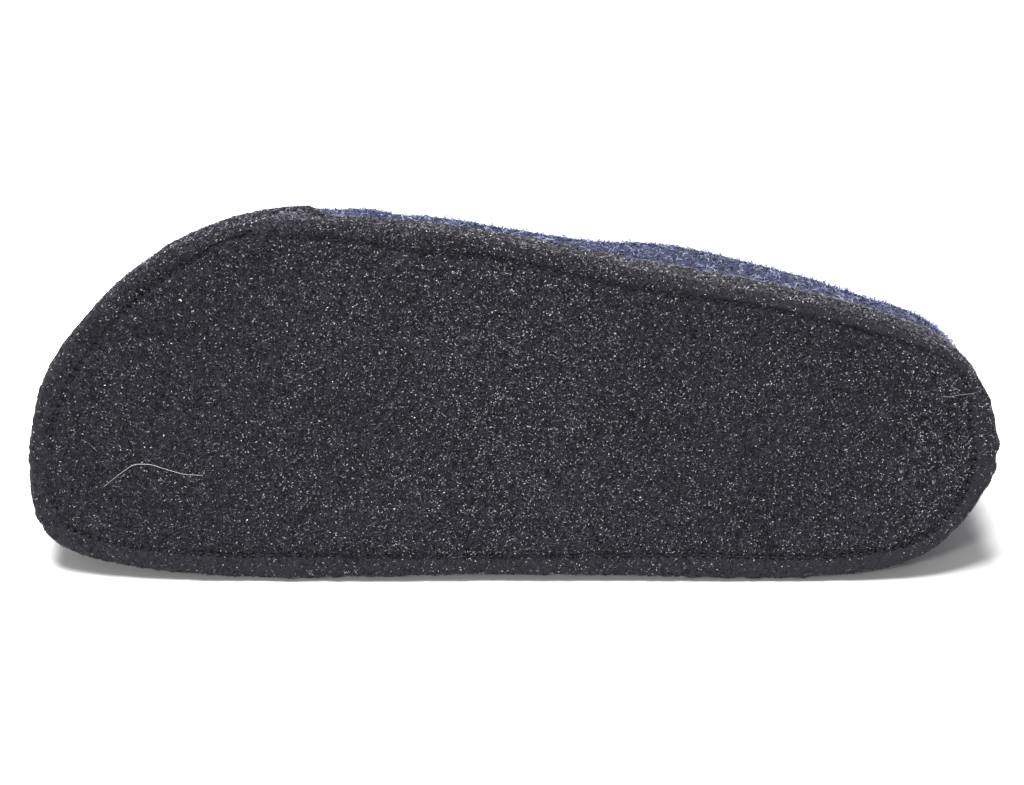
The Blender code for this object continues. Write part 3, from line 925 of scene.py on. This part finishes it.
def build_insole():
    """The footbed: a dished felt slab that follows the inside of the upper."""
    last = Last(POINTS["bed"])
    bottom = OUTSOLE_THICKNESS + GAP
    top = bottom + INSOLE_THICKNESS
    rounding = INSOLE_THICKNESS / 4
    foot = last.on_upper(bottom, -UPPER_WALL - 2 * GAP)
    side = last.on_upper(top - rounding, -UPPER_WALL - 2 * GAP)
    loops = [np.column_stack([foot[:, :2], np.full(last.count, bottom)])]
    profile = [(0, top - rounding), (0.3 * rounding, top - 0.3 * rounding), (rounding, top)]
    profile += [(inset * MM, top - share * INSOLE_DISH) for inset, share in DISH]
    for inset, height in profile:
        moved = side[:, :2] - outward(side[:, :2]) * inset
        loops.append(np.column_stack([moved, np.full(last.count, height)]))
    points, quads = stacked(loops, False)
    count = last.count
    half = last.half
    face, face_quads, fans = filled(loops[-1], (len(loops) - 1) * count, len(points), ROWS["bed"])
    face_quads = flipped(face_quads)
    points = np.concatenate([points, face])
    ks = np.arange(1, half - 1)
    under = np.stack([ks, ks + 1, count - ks - 1, count - ks], axis=1)
    caps = [(0, 1, count - 1), (half - 1, half, half + 1)]
    above = points[:, 2] > top - rounding * 1.01
    for lumps in ("bed_broad", "bed_fine"):
        points[:, 2] += np.where(above, uneven(points, lumps) * MM, 0)
    points = laid(sprung(points))
    used = np.concatenate([quads, face_quads, under])
    piece = mesh_piece("insole_felt", points, used, np.concatenate([flipped(fans), caps]))
    return piece, points, face_quads


def build_stitches(last, seam, trough):
    """The thread sunk in the sewn groove, one short dash between each pair of holes."""
    loop = sprung(last.inset(seam, trough))
    along, whole = arc_length(loop)
    number = round(whole / STITCH)
    closed = np.concatenate([loop, loop[:1]])
    places = np.append(along, whole)
    shares = np.append(last.share, last.share[0])
    rng = np.random.default_rng(51)
    stitches = []
    for k in range(number):
        begin, end = (whole * (k + part) / number for part in STITCH_SPAN)
        if CROSSING_ENDS[0] < np.interp(begin, places, shares) < CROSSING_ENDS[1] and begin < whole / 2:
            continue
        spine = on_path(closed, places, np.linspace(begin, end, 4))
        spine[:, 2] += STITCH_DEPTHS
        side = unit(np.cross(unit(spine[-1] - spine[0]), UP))
        stitches.append(tube(spine, THREAD_RADIUS * rng.uniform(0.8, 1.2), side, UP, 6))
    points, quads = joined(stitches)
    return mesh_piece("seam_thread", laid(points), quads)


def build_cap_thread(last):
    """The dark thread of the toe cap's seam where it climbs over the lateral edge."""
    line = climb_line(last)
    low = last.inset(0.6 * MM, np.maximum(line, 1.2) * MM)
    high = last.on_upper(np.maximum(line * MM, last.base[:, 2]), GAP + RAND_WALL * last.thin - 0.7 * MM)
    path = np.where((line < OUTSOLE_THICKNESS / MM)[:, None], low, high)
    within = (last.share > CAP_THREAD_ENDS[0]) & (last.share < CAP_THREAD_ENDS[1])
    path = sprung(path[last.lateral & within])
    lengths = path_lengths(path)
    threads = []
    for begin in np.arange(0, lengths[-1] - 2 * MM, CAP_STITCH["pitch"]):
        spine = on_path(path, lengths, np.linspace(begin, begin + CAP_STITCH["length"], 4))
        heading = unit(spine[-1] - spine[0])
        out = unit(np.cross(np.cross(heading, [0, 0.6, -0.8]), heading))
        spine = spine - out * CAP_STITCH_DEPTHS
        threads.append(tube(spine, CAP_STITCH["radius"], np.cross(heading, out), out, 6))
    points, quads = joined(threads)
    return mesh_piece("cap_thread", laid(points), quads)


def hair(name, marks, lift, thick, start_lift):
    """One loose hair lying on the sole, a thin tube through the marks given in millimetres.

    start_lift is the share of the lift at its first mark, where it may sink into the felt."""
    marks = np.array(marks) * MM
    lengths = path_lengths(marks)
    spine = on_path(marks, lengths, np.linspace(0, lengths[-1], 8 * len(marks)))
    for _ in range(6):
        spine[1:-1] = (spine[:-2] + 2 * spine[1:-1] + spine[2:]) / 4
    height = -lift * (0.6 + 0.4 * np.sin(np.linspace(0.3, 2.9, len(spine)) * 3))
    risen = smooth_step(0.1, 0.5, np.linspace(0, 1, len(spine)))
    height = height * (start_lift + (1 - start_lift) * risen)
    spine = sprung(np.column_stack([spine, height]))
    side = unit(np.cross(np.gradient(spine, axis=0), UP))
    share = (np.arange(len(spine)) + 1) / (len(spine) + 1)
    radius = thick / 2 * (0.5 + 0.5 * np.sin(math.pi * share) ** 0.4)
    points, quads = tube(spine, radius, side, UP, 5)
    return mesh_piece(name, laid(points), quads)


# Pieces
sole, sole_last, sole_seam, sole_trough, sole_points, sole_quads, sole_thin = build_outsole()
upper, upper_points, upper_quads, lining_quads = build_upper()
band_last = Last(int(POINTS["band"] * FINE))
rand, rand_points, rand_quads = build_band(
    "rand_felt", band_last, OUTSOLE_THICKNESS + GAP, band_last.rand_top, RAND_WALL, "rand",
    band_last.square, np.arange(band_last.count),
)
guard_low = band_last.rand_top + GAP
guard_rise = 0.04 + 0.96 * smooth_step(GUARD_START, GUARD_START + GUARD_RAMP, band_last.share)
guard_high = guard_low + (band_last.guard_top - guard_low) * guard_rise
guard, guard_points, guard_quads = build_band(
    "toe_guard_felt", band_last, guard_low, guard_high, GUARD_WALL, "guard", 0,
    np.flatnonzero(band_last.share > GUARD_START),
)
insole, insole_points, insole_quads = build_insole()
thread = build_stitches(sole_last, sole_seam, sole_trough)

sole_look = felt_material(
    "sole_needle_felt",
    dark=(0.0004, 0.0003, 0.0007), middle=(0.0060, 0.0054, 0.0083), light=(0.070, 0.066, 0.083),
    grain=0.48 * MM, gloss=0.35, calm=(0.0205, 0.0194, 0.0252),
)
# the rand's shades are lighter than the sole's: partly its own felt, partly painted light, raised for
# the light from above that falls on the lateral band
rand_look_painted_lit = felt_material(
    "rand_needle_felt_painted_lit",
    dark=(0.0014, 0.0013, 0.0020), middle=(0.0270, 0.0258, 0.0320), light=(0.165, 0.158, 0.180),
    grain=0.56 * MM, gloss=0.38,
)
guard_look = felt_material(
    "toe_guard_needle_felt",
    dark=(0.0014, 0.0013, 0.0020), middle=(0.0135, 0.0127, 0.0168), light=(0.088, 0.084, 0.099),
    grain=0.52 * MM, gloss=0.40,
)
wool_look = felt_material(
    "blue_boiled_wool",
    dark=(0.0020, 0.0027, 0.0100), middle=(0.0130, 0.0162, 0.0490), light=(0.0850, 0.0960, 0.1900),
    grain=0.75 * MM, gloss=0.85, sheen=0.12,
)
bed_look = felt_material(
    "grey_footbed_felt",
    dark=(0.035, 0.035, 0.038), middle=(0.085, 0.085, 0.090), light=(0.170, 0.170, 0.176),
    grain=0.75 * MM, gloss=0.85, sheen=0.1, depth=0.6,
)
thread_look = plain_material("dark_thread", (0.006, 0.006, 0.008), 0.6)

dress(sole, sole_look, "sole_felt", "outsole")
dress(rand, rand_look_painted_lit, "rand_felt", "rand")
dress(guard, guard_look, "rand_felt", "toe_guard")
dress(upper, wool_look, "blue_wool", "upper")
dress(insole, bed_look, "footbed_felt", "insole")
dress(thread, thread_look, "sole_felt")
dress(build_cap_thread(sole_last), thread_look, "rand_felt")

# Loose fibres, as joined meshes of ribbons: the colour, roughness and specular level of each look
rng = np.random.default_rng(7)
LOOKS = {
    "dark": ("sole_fibre_dark", (0.0030, 0.0028, 0.0040), 0.6, 0.10),
    "grey": ("sole_fibre_grey", (0.022, 0.0205, 0.0275), 0.42, 0.30),
    "pale": ("sole_fibre_pale", (0.142, 0.136, 0.157), 0.34, 0.5),
    "glint": ("sole_fibre_glint", (0.400, 0.390, 0.425), 0.26, 0.75),
    "blue": ("wool_fibre_blue", (0.009, 0.0115, 0.040), 0.8, 0.12),
    "light": ("wool_fibre_light", (0.340, 0.362, 0.510), 0.75, 0.2),
    "fuzz": ("wool_fuzz", (0.050, 0.059, 0.145), 0.8, 0.15),
    "bed": ("footbed_fibre", (0.20, 0.20, 0.205), 0.8, 0.2),
}
fibre_looks = {key: plain_material(*look) for key, look in LOOKS.items()}
band_points, band_quads = joined([(rand_points, rand_quads), (guard_points, guard_quads)])
from_heel = (SHIFT[0] - sole_points[sole_quads[:, 0], 0]) / LENGTH
# the pale fibres and the glint fibres, which paint glints, are spread along the sole by these weights
sole_light_weight = sole_thin * np.interp(from_heel, LIGHT_FIBRE_SPREAD["along"], LIGHT_FIBRE_SPREAD["light_fibres"])
SURFACES = {
    "sole": (sole_points, sole_quads, sole_thin, "sole_felt"),
    "sole_light_fibres": (sole_points, sole_quads, sole_light_weight, "sole_felt"),
    "band": (band_points, band_quads, 1.0, "rand_felt"),
    "fringe": (rand_points, rand_quads[-4 * band_last.count :], 1.0, "rand_felt"),
    "upper": (upper_points, upper_quads, 1.0, "blue_wool"),
    "lining": (upper_points, lining_quads, 1.0, "blue_wool"),
    "footbed": (insole_points, insole_quads, 1.0, "footbed_felt"),
}
# name, look, surface, number, then length, width, curl, lift and rise with lengths in millimetres
FIBRES = (
    ("sole_fibres_dark", "dark", "sole", 22000, 1.2, 0.19, 1.8, 0.12, 0.06),
    ("sole_fibres_grey", "grey", "sole", 23000, 1.0, 0.13, 2.0, 0.16, 0.10),
    ("sole_fibres_pale", "pale", "sole_light_fibres", 13600, 0.65, 0.13, 1.8, 0.18, 0.12),
    ("sole_fibres_glint", "glint", "sole_light_fibres", 6850, 0.45, 0.15, 1.2, 0.20, 0.14),
    ("band_fibres_dark", "dark", "band", 6500, 1.4, 0.20, 1.6, 0.15, 0.10),
    ("band_fibres_grey", "grey", "band", 6000, 1.4, 0.14, 1.8, 0.22, 0.25),
    ("band_fibres_pale", "pale", "band", 9000, 0.9, 0.14, 1.6, 0.22, 0.25),
    ("band_fibres_glint", "glint", "band", 3500, 0.6, 0.13, 1.6, 0.22, 0.25),
    ("fringe_fibres", "pale", "fringe", 3500, 1.5, 0.11, 1.8, 0.30, 0.60),
    ("wool_fibres_blue", "blue", "upper", 26000, 2.0, 0.16, 1.5, 0.30, 0.35),
    ("wool_fibres_light", "light", "upper", 18000, 2.0, 0.10, 1.5, 0.40, 0.55),
    ("wool_fuzz", "fuzz", "upper", 22000, 1.9, 0.14, 1.6, 0.60, 1.90),
    ("lining_fibres", "blue", "lining", 5000, 2.2, 0.15, 1.5, 0.30, 0.40),
    ("footbed_fibres", "bed", "footbed", 6000, 1.6, 0.12, 1.6, 0.15, 0.15),
)
for name, look, surface, number, length, width, curl, lift, rise in FIBRES:
    points, quads, weight, slot_name = SURFACES[surface]
    roots, normals = scatter(points, quads, int(number * FINE**2), rng, weight)
    piece = strands(name, roots, normals, rng, length * MM, width * MM, curl, lift * MM, rise * MM)
    dress(piece, fibre_looks[look], slot_name)

# Loose hairs and specks caught on the sole, in millimetres: name, look, lift, thickness, the share
# of the lift at the first mark, and the marks on the sole
white_look = plain_material("white_hair", (0.60, 0.58, 0.56), 0.4, 0.4)
pale_look = plain_material("pale_hair", (0.17, 0.167, 0.17), 0.4, 0.4)
WHITE_MARKS = (
    (252.4, -13.6), (248.0, -9.7), (243.7, -6.3), (238.9, -6.2), (234.5, -7.5), (229.4, -8.8),
    (224.1, -9.0),
)
HAIRS = (
    ("white_hair", white_look, 0.9, 0.08, 0.05, WHITE_MARKS),
    ("pale_hair", pale_look, 0.6, 0.11, 1.0, ((258.2, 0.7), (256.2, -0.5), (254.0, -2.5))),
    ("heel_hair", pale_look, 0.8, 0.11, 1.0, ((16.0, 15.9), (11.8, 16.3), (7.7, 17.2))),
    ("white_speck", white_look, 0.7, 0.40, 1.0, ((229.0, 42.3), (229.4, 42.6), (229.8, 42.7))),
)
for name, look, lift, thick, start_lift, marks in HAIRS:
    dress(hair(name, marks, lift * MM, thick * MM, start_lift), look, "sole_felt")

# Floor, light and camera
FLOOR_SIZE = 8
LAMP_AIM = Vector((0, 0, 0.04))
# The camera looks from this far above square-on to the sole
CAMERA_TILT = math.radians(19)
CAMERA_TARGET = Vector((0.0, -0.01447, 0.0503))
CAMERA_DISTANCE = 1.0864
CAMERA_LENS = 135

bpy.ops.mesh.primitive_plane_add(size=FLOOR_SIZE, location=(0, 0, 0))
floor = bpy.context.object
floor.name = "floor"
floor.data.materials.append(plain_material("pale_floor", (0.80, 0.80, 0.80), 0.95, 0.2))

scene = bpy.context.scene
scene.world = bpy.data.worlds.new("studio")
scene.world.use_nodes = True
fill_in(scene.world.node_tree.nodes["Background"], {"Color": (1, 1, 1, 1), "Strength": 0.35})


def lamp(name, place, size, power):
    data = bpy.data.lights.new(name, "AREA")
    data.size = size
    data.energy = power
    light = bpy.data.objects.new(name, data)
    light.location = place
    light.rotation_mode = "QUATERNION"
    light.rotation_quaternion = (LAMP_AIM - Vector(place)).to_track_quat("-Z", "Y")
    scene.collection.objects.link(light)


lamp("key", place=(-0.28, -0.12, 1.95), size=1.00, power=114)
lamp("front", place=(-0.9, -1.7, 1.1), size=0.30, power=15)

scene.view_settings.view_transform = "Standard"
scene.view_settings.look = "None"

camera_data = bpy.data.cameras.new("camera")
camera = bpy.data.objects.new("camera", camera_data)
scene.collection.objects.link(camera)
scene.camera = camera
camera_data.sensor_width = 36
camera_data.lens = CAMERA_LENS
elevation = LEAN + CAMERA_TILT
back = Vector((0, -math.cos(elevation), math.sin(elevation)))
camera.location = CAMERA_TARGET + back * CAMERA_DISTANCE
camera.rotation_mode = "QUATERNION"
camera.rotation_quaternion = back.to_track_quat("Z", "Y")
camera_data.clip_start = 0.05
camera_data.clip_end = 30
